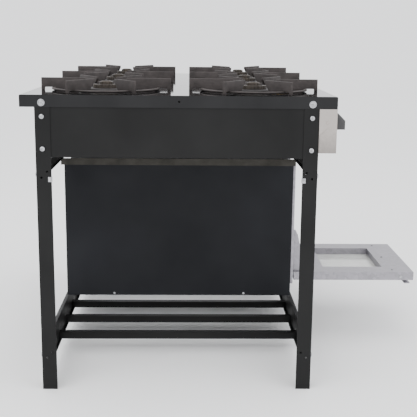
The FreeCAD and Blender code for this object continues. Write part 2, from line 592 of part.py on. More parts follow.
def hinges():
    arms, pins = [], []
    for sx in (-1, 1):
        x = f"{sx} * (oven_width / 2 - arm_inset)"
        body = new_body(x, f"-{HINGE_Y}", "hinge_height")
        pad(body, outline(body, "YZ_Plane", hinge_profile()), "arm_gauge", midplane=True)
        eye = rod(f"{x} - arm_gauge", f"-{HINGE_Y}", "hinge_height", "pin_radius + pin_play", "2 * arm_gauge", "x")
        arms.append(cut(body, [eye]))
        pin = rod(f"{x} - 7", f"-{HINGE_Y}", "hinge_height", "pin_radius", "14", "x")
        lugs = []
        for edge in (-1, 1):
            lug_x = f"{x} + {edge} * 4.5 - 1"
            lugs += [rod(lug_x, f"-{HINGE_Y}", "hinge_height", "5.5", "2", "x"),
                     box(lug_x, f"-{HINGE_Y}", "hinge_height - 5.5", "2", f"{HINGE_Y} - {OVEN_FACE}", "11")]
        pins.append(join([pin] + lugs))
    group(arms, "door_arms")
    group(pins, "hinge_pins")


def door_screws(far):
    """Screws in the door's two side edges, which also make their own holes."""
    return [rod(f"{sx} * door_width / 2 - 2", y, f"{DOOR_LOW} + door_depth / 2 - 2", "4", "4", "x")
            for sx in (-1, 1) for y in (f"{far} + 39", f"-{DOOR_EDGE} - 24")]


def door():
    """Drop-down door, lying open: outer pan, inner panel with a deep window, glass, handle and screws."""
    half, low = "(door_width / 2)", DOOR_LOW
    far = f"(-{DOOR_EDGE} - door_length)"
    notches = [box(f"{sx} * (oven_width / 2 - arm_inset) - notch_width / 2", f"-{HINGE_Y} - 10", f"{low} + 2",
                   "notch_width", "30", "door_depth + 4") for sx in (-1, 1)]
    window_y = f"(-{DOOR_EDGE} - window_start - window_length)"
    pan = box(f"-{half}", far, low, "door_width", "door_length", "door_depth - door_gauge")
    inside = box(f"-{half} + door_gauge", f"{far} + door_gauge", f"{low} + door_gauge", "door_width - 2 * door_gauge",
                 "door_length - 2 * door_gauge", "door_depth")
    sight = box("-window_width / 2 + 8", f"{window_y} + 8", f"{low} - 1", "window_width - 16", "window_length - 16", "4")
    cut(pan, [inside, sight] + notches + door_screws(far), "door_outer_panel")
    plate = box(f"-{half}", far, f"{low} + door_depth - door_gauge", "door_width", "door_length", "door_gauge")
    well = box("-window_width / 2 - door_gauge", f"{window_y} - door_gauge", f"{low} + door_gauge + glass_gauge",
               "window_width + 2 * door_gauge", "window_length + 2 * door_gauge",
               "door_depth - door_gauge - glass_gauge")
    opening = box("-window_width / 2", window_y, f"{low} - 1", "window_width", "window_length", "door_depth + 4")
    cut(join([plate, well]), [opening] + notches, "door_inner_panel")
    box_glass = box("-window_width / 2 - 1", f"{window_y} - 1", f"{low} + door_gauge", "window_width + 2",
                    "window_length + 2", "glass_gauge")
    keep(box_glass, "door_glass")
    bar_y = f"({far} + handle_set_in)"
    grip = box("-handle_length / 2", bar_y, f"{low} - handle_stand", "handle_length", "18", "4")
    posts = [box(f"{sx} * (handle_length / 2 - 14) - 4", f"{bar_y} + 4", f"{low} - handle_stand", "8", "10",
                 "handle_stand") for sx in (-1, 1)]
    join([grip] + posts, "door_handle")
    group(door_screws(far), "door_screws")


def write_parts():
    doc.recompute()
    bad = [item.Name for item in doc.Objects if "Invalid" in item.State or "Error" in item.State]
    bad += [item.Label for item in nodes if item.Shape.isNull() or not item.Shape.isValid()]
    if bad:
        raise RuntimeError(f"these failed: {bad}")
    os.makedirs("parts", exist_ok=True)
    for item in nodes:
        item.Shape.exportStep(f"parts/{item.Label}.step")
    print(len(nodes), "parts written")


frame()
cooking_top()
gas_train()
oven()
hinges()
door()
write_parts()
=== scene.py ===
"""Gas burner stand with an oven: finishes for the CAD parts and the detailed pieces that go on them."""
import math
import bpy
from mathutils import Matrix, Vector
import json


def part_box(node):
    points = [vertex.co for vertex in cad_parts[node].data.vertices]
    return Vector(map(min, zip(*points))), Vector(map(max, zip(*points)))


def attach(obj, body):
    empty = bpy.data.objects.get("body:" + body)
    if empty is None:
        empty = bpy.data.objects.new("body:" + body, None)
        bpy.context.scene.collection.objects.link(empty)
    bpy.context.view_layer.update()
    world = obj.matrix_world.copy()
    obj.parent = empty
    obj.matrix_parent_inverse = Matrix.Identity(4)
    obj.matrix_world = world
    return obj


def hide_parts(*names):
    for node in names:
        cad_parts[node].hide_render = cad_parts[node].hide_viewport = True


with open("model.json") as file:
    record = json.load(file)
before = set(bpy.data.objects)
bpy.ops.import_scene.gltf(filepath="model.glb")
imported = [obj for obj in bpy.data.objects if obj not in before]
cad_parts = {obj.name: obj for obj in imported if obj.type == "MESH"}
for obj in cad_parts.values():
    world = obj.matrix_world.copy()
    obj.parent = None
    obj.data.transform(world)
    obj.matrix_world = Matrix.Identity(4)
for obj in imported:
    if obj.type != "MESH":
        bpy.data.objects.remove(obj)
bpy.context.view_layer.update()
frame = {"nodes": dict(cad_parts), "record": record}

bl_info = {
    "name": "Burner stand",
    "version": (1, 0, 0),
    "blender": (4, 5, 0),
    "location": "3D View > Sidebar > Burner stand",
    "description": "Builds the looks of a six-burner gas stand with an oven",
    "category": "Object",
}

MM = 0.001
MODULES = ("left", "middle", "right")
ROWS = ("front", "rear")
RIM_BOLT = 0.747
SIDE_BOLTS = (0.713, 0.633)
RAIL_BOLTS = (0.566, 0.090)
BOLT_INSET = 17.5 * MM
SHEETS = 3.5 * MM
CLIP_LOW, CLIP_HIGH = 0.5502, 0.5628


class StandSizes(bpy.types.PropertyGroup):
    """Sizes of the pieces that are finished here."""
    fin_count: bpy.props.IntProperty(name="Grate fins", description="Fins on each cast grate", default=6)
    fin_gauge: bpy.props.FloatProperty(
        name="Fin thickness", description="Thickness at a fin's foot", default=0.007, unit="LENGTH")
    bolt_head: bpy.props.FloatProperty(
        name="Bolt head", description="Radius of a frame bolt's head", default=0.0062, unit="LENGTH")
    washer: bpy.props.FloatProperty(
        name="Washer", description="Radius of the washer under the top bolts", default=0.0088, unit="LENGTH")
    port_count: bpy.props.IntProperty(name="Ports", description="Gas ports round one burner tier", default=36)
    knob_flutes: bpy.props.IntProperty(name="Knob flutes", description="Flutes round a knob", default=24)


class StandColours(bpy.types.PropertyGroup):
    """Colours a user would change, as sRGB hex values."""
    frame_paint: bpy.props.StringProperty(
        name="Frame paint", description="Satin frame enamel", default="141414")
    top_paint: bpy.props.StringProperty(
        name="Top enamel", description="Gloss enamel of the top", default="161617")
    iron: bpy.props.StringProperty(name="Grate iron", description="Cast grates", default="3A3534")
    panel: bpy.props.StringProperty(name="Panel coat", description="Front panel", default="A09994")
    zinc: bpy.props.StringProperty(
        name="Galvanised sheet", description="Oven door and frame", default="96949A")


def linear(code):
    """An sRGB hex value as a linear colour."""
    parts = [int(code[i:i + 2], 16) / 255 for i in (0, 2, 4)]
    return tuple(c / 12.92 if c <= 0.04045 else ((c + 0.055) / 1.055) ** 2.4 for c in parts) + (1.0,)


def add(tree, kind, settings=None, **inputs):
    """Add a node, give it its settings, and set or link its inputs by name."""
    made = tree.nodes.new("ShaderNode" + kind)
    for key, value in (settings or {}).items():
        setattr(made, key, value)
    for key, value in inputs.items():
        socket = made.inputs[key.replace("_", " ")]
        if isinstance(value, bpy.types.NodeSocket):
            tree.links.new(value, socket)
        else:
            socket.default_value = value
    return made


def blank(name, **shader):
    """A new material with its shader's constants set, and object coordinates to pattern it by."""
    material = bpy.data.materials.new(name)
    material.use_nodes = True
    tree = material.node_tree
    surface = tree.nodes["Principled BSDF"]
    for key, value in shader.items():
        surface.inputs[key.replace("_", " ")].default_value = value
    place = add(tree, "TexCoord").outputs["Object"]
    return material, tree, surface, place


def noise(tree, place, size_mm, detail=4.0, rough=0.55):
    """Cloudy pattern whose blotches are about the given size."""
    return add(tree, "TexNoise", None, Vector=place, Scale=1000.0 / size_mm, Detail=detail,
               Roughness=rough).outputs["Fac"]


def ramp(tree, fac, stops):
    """Colour ramp from (place, hex) stops."""
    made = add(tree, "ValToRGB", None, Fac=fac)
    for index, (place, code) in enumerate(stops):
        stop = made.color_ramp.elements[index] if index < 2 else made.color_ramp.elements.new(place)
        stop.position = place
        stop.color = linear(code)
    return made.outputs["Color"]


def spread(tree, fac, low, high):
    """Turn a pattern's 0 to 1 into low to high."""
    return add(tree, "MapRange", None, Value=fac, To_Min=low, To_Max=high).outputs["Result"]


def relief(tree, surface, height, depth_mm, strength=1.0):
    """Bump of a real depth."""
    bump = add(tree, "Bump", None, Height=height, Distance=depth_mm * MM, Strength=strength)
    tree.links.new(bump.outputs["Normal"], surface.inputs["Normal"])


def shade(code, factor):
    """A hex colour made lighter or darker."""
    return "".join(f"{min(255, round(int(code[i:i + 2], 16) * factor)):02X}" for i in (0, 2, 4))


def frame_enamel():
    # Satin black enamel sprayed on folded sheet: faint orange peel and a film of dust and handling.
    code = bpy.context.scene.stand_colours.frame_paint
    material, tree, surface, place = blank("satin_frame_enamel", IOR=1.5, Specular_IOR_Level=0.16)
    cloud = noise(tree, place, 180, 5.0)
    tree.links.new(ramp(tree, cloud, [(0.3, shade(code, 0.86)), (0.72, shade(code, 1.3))]),
                   surface.inputs["Base Color"])
    tree.links.new(spread(tree, noise(tree, place, 35), 0.34, 0.55), surface.inputs["Roughness"])
    relief(tree, surface, noise(tree, place, 2.2, 2.0), 0.05, 0.35)
    return material


def oven_enamel():
    # Blue-black enamel on the oven's thin side sheets, which show long soft dents and a duller foot.
    material, tree, surface, place = blank("blue_black_oven_enamel", IOR=1.5, Specular_IOR_Level=0.12)
    tree.links.new(ramp(tree, noise(tree, place, 260, 3.0), [(0.3, "151619"), (0.7, "1F2023")]),
                   surface.inputs["Base Color"])
    tree.links.new(spread(tree, noise(tree, place, 60), 0.4, 0.58), surface.inputs["Roughness"])
    relief(tree, surface, noise(tree, place, 150, 1.0), 1.6, 0.25)
    return material


def top_enamel():
    # Gloss black enamel fired on the top: mirror-like at a low angle, with fine scratches from pots.
    code = bpy.context.scene.stand_colours.top_paint
    material, tree, surface, place = blank("gloss_top_enamel", IOR=1.52, Specular_IOR_Level=0.22)
    tree.links.new(ramp(tree, noise(tree, place, 120), [(0.3, shade(code, 0.9)), (0.7, shade(code, 1.25))]),
                   surface.inputs["Base Color"])
    tree.links.new(spread(tree, noise(tree, place, 22, 6.0, 0.7), 0.03, 0.08), surface.inputs["Roughness"])
    relief(tree, surface, noise(tree, place, 30, 2.0), 0.01, 0.1)
    return material


def cast_iron(name, low, high, rough=(0.62, 0.85)):
    # Grey iron poured in a sand mould: a grain of about a millimetre and warm, uneven oxide.
    material, tree, surface, place = blank(name, Metallic=0.35)
    blotch = noise(tree, place, 26, 6.0, 0.65)
    tree.links.new(ramp(tree, blotch, [(0.28, low), (0.7, high)]), surface.inputs["Base Color"])
    tree.links.new(spread(tree, blotch, *rough), surface.inputs["Roughness"])
    relief(tree, surface, noise(tree, place, 1.6, 3.0), 0.35, 0.7)
    return material


def galvanised_sheet():
    # Hot-dip galvanised steel: soft grey crystals a centimetre across, each with its own sheen.
    code = bpy.context.scene.stand_colours.zinc
    material, tree, surface, place = blank("galvanised_sheet", Metallic=0.55)
    crystal = add(tree, "TexVoronoi", {"feature": "F1"}, Vector=place, Scale=1000.0 / 11).outputs["Color"]
    value = add(tree, "RGBToBW", None, Color=crystal).outputs["Val"]
    tree.links.new(ramp(tree, value, [(0.1, shade(code, 0.93)), (0.9, shade(code, 1.05))]),
                   surface.inputs["Base Color"])
    tree.links.new(spread(tree, value, 0.36, 0.5), surface.inputs["Roughness"])
    relief(tree, surface, noise(tree, place, 45, 2.0), 0.3, 0.2)
    return material


def panel_coat():
    # Pale baked coat on the control panel, mottled, and darker towards its lower edge.
    code = bpy.context.scene.stand_colours.panel
    material, tree, surface, place = blank("pale_panel_coat", IOR=1.5)
    height = add(tree, "SeparateXYZ", None, Vector=place).outputs["Z"]
    low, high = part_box("control_panel")[0].z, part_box("control_panel")[1].z
    up = add(tree, "MapRange", None, Value=height, From_Min=low, From_Max=high).outputs["Result"]
    mottle = noise(tree, place, 12, 6.0, 0.7)
    mixed = add(tree, "Math", {"operation": "MULTIPLY_ADD"})
    tree.links.new(mottle, mixed.inputs[0])
    mixed.inputs[1].default_value = 0.55
    tree.links.new(up, mixed.inputs[2])
    tree.links.new(ramp(tree, mixed.outputs[0], [(0.25, shade(code, 0.8)), (0.8, code)]),
                   surface.inputs["Base Color"])
    tree.links.new(spread(tree, mottle, 0.4, 0.58), surface.inputs["Roughness"])
    relief(tree, surface, noise(tree, place, 2.5, 2.0), 0.05, 0.3)
    return material


def metal(name, low, high, size_mm, rough, depth_mm=0.02):
    """A bare or plated metal whose tone and polish wander over blotches of a given size."""
    material, tree, surface, place = blank(name, Metallic=1.0)
    cloud = noise(tree, place, size_mm, 5.0)
    tree.links.new(ramp(tree, cloud, [(0.3, low), (0.7, high)]), surface.inputs["Base Color"])
    tree.links.new(spread(tree, cloud, *rough), surface.inputs["Roughness"])
    relief(tree, surface, noise(tree, place, size_mm / 8), depth_mm, 0.4)
    return material


def phenolic():
    # Black phenolic moulding, polished by fingers on its high places.
    material, tree, surface, place = blank("moulded_phenolic", IOR=1.6)
    tree.links.new(ramp(tree, noise(tree, place, 9), [(0.3, "151416"), (0.7, "201E20")]),
                   surface.inputs["Base Color"])
    tree.links.new(spread(tree, noise(tree, place, 6), 0.28, 0.46), surface.inputs["Roughness"])
    relief(tree, surface, noise(tree, place, 1.4), 0.03, 0.3)
    return material


def marking_paint():
    # White pad-printed paint of the pointers and scales, a little worn.
    material, tree, surface, place = blank("pad_printed_white", IOR=1.5)
    tree.links.new(ramp(tree, noise(tree, place, 3), [(0.3, "C9C7C2"), (0.7, "EDEBE6")]),
                   surface.inputs["Base Color"])
    tree.links.new(spread(tree, noise(tree, place, 2), 0.4, 0.6), surface.inputs["Roughness"])
    return material


def oven_glass():
    # Toughened float glass; its pale grey-white colour is painted reflection of the bright surroundings.
    material, tree, surface, place = blank("toughened_oven_glass", IOR=1.5, Transmission_Weight=0.3)
    # the pale ramp is painted reflection, not the glass's own colour
    tree.links.new(ramp(tree, noise(tree, place, 40), [(0.3, "D2D3CF"), (0.7, "E2E3DF")]),
                   surface.inputs["Base Color"])
    tree.links.new(spread(tree, noise(tree, place, 25), 0.04, 0.12), surface.inputs["Roughness"])
    return material


def make_finishes():
    """Every finish once, by the name of the record's material slot or of the piece that it is for."""
    return {
        "black_paint": frame_enamel(),
        "top": top_enamel(),
        "oven": oven_enamel(),
        "grey_paint": metal("dusty_painted_angle", "343330", "4A4844", 40, (0.5, 0.7)),
        "cast_iron": cast_iron("sand_cast_grate_iron", shade(bpy.context.scene.stand_colours.iron, 0.72),
                               shade(bpy.context.scene.stand_colours.iron, 1.25)),
        "burner_iron": cast_iron("fired_burner_iron", "1E1D1C", "3E3A3A", (0.45, 0.75)),
        "crown_iron": cast_iron("heat_browned_crown_iron", "262321", "453C33", (0.4, 0.62)),
        "steel_tube": metal("drawn_steel_tube", "6B6B6D", "8C8C8F", 20, (0.3, 0.48)),
        "valve_brass": metal("turned_brass", "8F7434", "BFA25A", 8, (0.22, 0.4)),
        "knob_plastic": phenolic(),
        "panel_steel": panel_coat(),
        "zinc_plate": metal("bright_zinc_plate", "8C8D8F", "C2C2C5", 5, (0.25, 0.42)),
        "galvanised": galvanised_sheet(),
        "oven_glass": oven_glass(),
        "liner_steel": metal("heat_stained_aluminised_liner", "4C4B49", "757370", 70, (0.42, 0.62)),
        "rack_chrome": metal("chromed_rack_wire", "A9A9AB", "D5D5D8", 10, (0.12, 0.28)),
        "marking": marking_paint(),
    }


FINISHES = {}


def dress(piece, finish):
    """Give a piece one finish."""
    piece.data.materials.clear()
    piece.data.materials.append(FINISHES[finish])


def clear_selection():
    if bpy.context.object and bpy.context.object.mode != "OBJECT":
        bpy.ops.object.mode_set(mode="OBJECT")
    bpy.ops.object.select_all(action="DESELECT")


def make_only(piece):
    clear_selection()
    piece.select_set(True)
    bpy.context.view_layer.objects.active = piece


def settle(piece):
    """Put a piece's place, turn and scale into its mesh."""
    make_only(piece)
    bpy.ops.object.transform_apply(location=True, rotation=True, scale=True)
    return piece


def block(low, high):
    """A block between two corners."""
    low, high = Vector(low), Vector(high)
    clear_selection()
    bpy.ops.mesh.primitive_cube_add(size=1, location=(low + high) / 2)
    piece = bpy.context.object
    piece.scale = high - low
    return settle(piece)


def turned(radius, start, end, sides=48):
    """A round bar along Z from start to end."""
    clear_selection()
    bpy.ops.mesh.primitive_cylinder_add(
        vertices=sides, radius=radius, depth=end - start, location=(0, 0, (start + end) / 2))
    return settle(bpy.context.object)


def choose(piece, wanted):
    """Enter edit mode with just the faces chosen that pass a test on their middle and normal."""
    make_only(piece)
    bpy.ops.object.mode_set(mode="EDIT")
    bpy.ops.mesh.select_mode(type="FACE")
    bpy.ops.mesh.select_all(action="DESELECT")
    bpy.ops.object.mode_set(mode="OBJECT")
    for face in piece.data.polygons:
        face.select = wanted(face.center, face.normal)
    bpy.ops.object.mode_set(mode="EDIT")


def leave_edit():
    bpy.ops.object.mode_set(mode="OBJECT")


def top_face(piece):
    """Choose the highest upward face."""
    height = max(vertex.co.z for vertex in piece.data.vertices)
    choose(piece, lambda middle, normal: normal.z > 0.9 and middle.z > height - 1e-5)


def step_up(piece, inset, rise, taper=1.0):
    """Inset the top face, raise or sink it, and taper it."""
    top_face(piece)
    if inset:
        bpy.ops.mesh.inset(thickness=inset)
    bpy.ops.mesh.extrude_region_move(TRANSFORM_OT_translate={"value": (0, 0, rise)})
    if taper != 1.0:
        bpy.ops.transform.resize(value=(taper, taper, 1), center_override=(0, 0, 0))
    leave_edit()


def soften(piece, width, segments=2, angle=35):
    """Round the edges and smooth the rest."""
    make_only(piece)
    bevel = piece.modifiers.new("Edges", "BEVEL")
    bevel.width = width
    bevel.segments = segments
    bevel.limit_method = "ANGLE"
    bevel.angle_limit = math.radians(angle)
    bpy.ops.object.modifier_apply(modifier=bevel.name)
    bpy.ops.object.shade_smooth_by_angle(angle=math.radians(40))
    return piece


def carve(piece, tool):
    """Cut one piece with another, which is used up."""
    make_only(piece)
    boolean = piece.modifiers.new("Cut", "BOOLEAN")
    boolean.operation = "DIFFERENCE"
    boolean.object = tool
    boolean.solver = "EXACT"
    bpy.ops.object.modifier_apply(modifier=boolean.name)
    bpy.data.objects.remove(tool)
    return piece


def weld(pieces, name):
    """Join pieces into one object."""
    clear_selection()
    for piece in pieces:
        piece.select_set(True)
    bpy.context.view_layer.objects.active = pieces[0]
    bpy.ops.object.join()
    whole = bpy.context.object
    whole.name = name
    return whole


def copy_to(piece, matrix, name=None):
    """A copy with its own mesh, moved by a matrix that ends up in its vertices."""
    make_only(piece)
    bpy.ops.object.duplicate(linked=False)
    twin = bpy.context.object
    twin.matrix_world = matrix
    settle(twin)
    if name:
        twin.name = name
    return twin


def drop(piece):
    bpy.data.objects.remove(piece)


def middle(node):
    low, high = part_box(node)
    return (low + high) / 2


AIM = {
    "-x": Matrix.Rotation(math.radians(-90), 4, "Y"),
    "+x": Matrix.Rotation(math.radians(90), 4, "Y"),
    "-y": Matrix.Rotation(math.radians(90), 4, "X"),
    "+y": Matrix.Rotation(math.radians(-90), 4, "X"),
    "+z": Matrix.Identity(4),
}


def place_at(spot, aim="+z"):
    return Matrix.Translation(Vector(spot)) @ AIM[aim]


def screw_head(radius, height, slot_width):
    """A domed head with a cross recess, standing on the plane z = 0."""
    head = turned(radius, 0, height * 0.45, 32)
    step_up(head, 0, height * 0.35, 0.82)
    step_up(head, 0, height * 0.2, 0.62)
    for turn in (0, 90):
        bar = block((-radius * 0.5, -slot_width / 2, height * 0.6),
                    (radius * 0.5, slot_width / 2, height * 1.4))
        bar.rotation_euler.z = math.radians(turn)
        carve(head, settle(bar))
    return soften(head, radius * 0.03, 1)


def frame_bolt(washer_radius, grip):
    """Head and washer outside, shank through the sheets, hex nut inside; the outer face is z = 0."""
    sizes = bpy.context.scene.stand_sizes
    washer = soften(turned(washer_radius, 0, 1.3 * MM, 40), 0.3 * MM)
    head = screw_head(sizes.bolt_head, 3.5 * MM, 1.2 * MM)
    head.location.z = 1.3 * MM
    settle(head)
    shank = turned(3.9 * MM, -grip - 7 * MM, 0.5 * MM, 24)
    nut = soften(turned(6.4 * MM, -grip - 5 * MM, -grip, 6), 0.4 * MM)
    return weld([head, washer, shank, nut], "frame_bolt")


class STAND_OT_finishes(bpy.types.Operator):
    """Make every finish and give the CAD parts theirs"""
    bl_idname = "stand.finishes"
    bl_label = "Finishes"

    def execute(self, context):
        FINISHES.update(make_finishes())
        slots = {entry["node"]: entry["material_slot"] for entry in frame["record"]["subparts"]}
        special = {"table_top": "top", "oven_shell": "oven", "burner_front": "burner_iron",
                   "burner_rear": "burner_iron"}
        for name, part in frame["nodes"].items():
            finish = next((value for start, value in special.items() if name.startswith(start)), slots[name])
            for index in range(max(1, len(part.data.materials))):
                if part.data.materials:
                    part.data.materials[index] = FINISHES[finish]
                else:
                    part.data.materials.append(FINISHES[finish])
        return {"FINISHED"}


class STAND_OT_bolts(bpy.types.Operator):
    """Frame bolts with washers, and the spring clips on the legs"""
    bl_idname = "stand.bolts"
    bl_label = "Frame bolts"

    def execute(self, context):
        sizes = context.scene.stand_sizes
        big = frame_bolt(sizes.washer, SHEETS)
        small = frame_bolt(sizes.bolt_head * 0.92, SHEETS)
        made = []
        for across, sx, aim in (("left", -1, "-x"), ("right", 1, "+x")):
            for depth, sy, long_aim in (("front", -1, "-y"), ("rear", 1, "+y")):
                low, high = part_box(f"leg_{depth}_{across}")
                rim_low, rim_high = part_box(f"table_top_{across}")
                leg_x, rim_x = (low.x, rim_low.x) if sx < 0 else (high.x, rim_high.x)
                face, inner = (low.y, high.y) if sy < 0 else (high.y, low.y)
                y = face - sy * BOLT_INSET
                made.append(copy_to(big, place_at((rim_x, y, RIM_BOLT), aim)))
                for height in SIDE_BOLTS:
                    made.append(copy_to(small, place_at((leg_x, y, height), aim)))
                for height in RAIL_BOLTS:
                    spot = (leg_x - sx * BOLT_INSET, face, height)
                    made.append(copy_to(small, place_at(spot, long_aim)))
                made.append(self.clip(leg_x, inner, sx, sy))
        drop(big)
        drop(small)
        bolts = weld(made, "frame_bolts_detail")
        dress(bolts, "zinc_plate")
        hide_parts("frame_bolts")
        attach(bolts, "stand")
        return {"FINISHED"}

    def clip(self, leg_x, inner, sx, sy):
        """A spring clip nut over the inner edge of a leg."""
        centre_x = leg_x - sx * 1 * MM
        near, far = sorted((inner + sy * 8.6 * MM, inner - sy * 1.3 * MM))
        clip = block((centre_x - 2.3 * MM, near, CLIP_LOW), (centre_x + 2.3 * MM, far, CLIP_HIGH))
        gap = sorted((inner, inner + sy * 12 * MM))
        over = 10 * MM
        carve(clip, block((centre_x - 1.05 * MM, gap[0], CLIP_LOW - over),
                          (centre_x + 1.05 * MM, gap[1], CLIP_HIGH + over)))
        return soften(clip, 0.5 * MM)


class STAND_OT_grates(bpy.types.Operator):
    """Cast grates with drafted, rounded fins on arched feet and a tie ring"""
    bl_idname = "stand.grates"
    bl_label = "Grates"

    def fin(self, radius, height, gauge):
        tip, foot, arch, lift = 54 * MM, 9 * MM, 26 * MM, 2 * MM
        fin = block((-gauge / 2, tip, 0), (gauge / 2, radius, height))
        choose(fin, lambda middle, normal: True)
        bpy.ops.mesh.bisect(plane_co=(0, tip, height - 6 * MM), plane_no=(0, -22, -58), use_fill=True,
                            clear_outer=True)
        leave_edit()
        arch_end = radius - foot
        carve(fin, block((-gauge, tip - MM, -MM), (gauge, arch_end - arch + MM, lift)))
        carve(fin, soften(block((-gauge, arch_end - arch, -8 * MM), (gauge, arch_end, 7 * MM)), 2.5 * MM, 3))
        choose(fin, lambda middle, normal: normal.z > 0.9)
        bpy.ops.transform.resize(value=(0.78, 1, 1), center_override=(0, 0, 0))
        leave_edit()
        return soften(fin, 1.1 * MM, 3)

    def execute(self, context):
        sizes = context.scene.stand_sizes
        low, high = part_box("grate_front_left")
        radius, height = (high.y - low.y) / 2, high.z - low.z
        fin = self.fin(radius, height, sizes.fin_gauge)
        fins = [copy_to(fin, Matrix.Rotation(math.tau * index / sizes.fin_count, 4, "Z"))
                for index in range(sizes.fin_count)]
        drop(fin)
        tie = radius - 44 * MM + 10.5 * MM
        clear_selection()
        bpy.ops.mesh.primitive_torus_add(major_radius=tie, minor_radius=5 * MM, major_segments=96,
                                         minor_segments=12, location=(0, 0, 5 * MM))
        ring = bpy.context.object
        ring.scale.z = 0.58
        settle(ring)
        bpy.ops.object.shade_smooth()
        whole = weld([ring] + fins, "grate_pattern")
        dress(whole, "cast_iron")
        for row in ROWS:
            for name in MODULES:
                node = f"grate_{row}_{name}"
                spot = middle(node)
                spot.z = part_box(node)[0].z
                cast = copy_to(whole, Matrix.Translation(spot), f"{node}_casting")
                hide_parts(node)
                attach(cast, f"{node}_body")
        drop(whole)
        return {"FINISHED"}


def ported(radius, start, end, ports, depth, inner=0.0):
    """A round tier with gas slots sunk all round its side."""
    tier = turned(radius, start, end, ports * 4)
    choose(tier, lambda middle, normal: abs(normal.z) < 0.1
           and round(math.atan2(middle.y, middle.x) / math.tau * ports * 4 - 0.5) % 4 == 0)
    bpy.ops.mesh.inset(thickness=0.5 * MM, use_individual=True)
    bpy.ops.mesh.extrude_region_move()
    shrink = 1 - depth / radius
    bpy.ops.transform.resize(value=(shrink, shrink, 1), center_override=(0, 0, 0))
    leave_edit()
    if inner:
        carve(tier, turned(inner, start - 1 * MM, end + 1 * MM, 48))
    return soften(tier, 0.5 * MM, 1, 60)


class STAND_OT_burners(bpy.types.Operator):
    """Ported rings and stepped crowns of the burners"""
    bl_idname = "stand.burners"
    bl_label = "Burners"

    def crown(self, ports):
        """Stepped crown standing on z = 0."""
        skirt = turned(25.3 * MM, -9.8 * MM, 0.5 * MM, 48)
        tier = ported(34.6 * MM, 0.4 * MM, 9.4 * MM, ports * 2 // 3, 2.0 * MM)
        step_up(tier, 9 * MM, -1.6 * MM)
        upper = ported(17.8 * MM, 7 * MM, 16 * MM, ports // 3, 1.6 * MM)
        step_up(upper, 3 * MM, 1.9 * MM, 0.9)
        step_up(upper, 4 * MM, -1.6 * MM)
        return weld([tier, skirt, upper], "crown_pattern")

    def execute(self, context):
        ports = context.scene.stand_sizes.port_count
        crown = self.crown(ports)
        dress(crown, "crown_iron")
        low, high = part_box("burner_rear_left")
        outer = (high.x - low.x) / 2
        ring = ported(outer + 0.9 * MM, -9.5 * MM, -1.6 * MM, ports, 2.2 * MM, outer - 4 * MM)
        dress(ring, "burner_iron")
        for row in ROWS:
            for name in MODULES:
                node = f"burner_crown_{row}_{name}"
                spot = middle(node)
                spot.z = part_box(f"burner_{row}_{name}")[1].z
                cast = copy_to(crown, Matrix.Translation(spot), f"{node}_casting")
                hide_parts(node)
                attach(cast, f"{node}_body")
                band = copy_to(ring, Matrix.Translation(spot), f"burner_ports_{row}_{name}")
                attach(band, "stand")
        drop(crown)
        drop(ring)
        return {"FINISHED"}


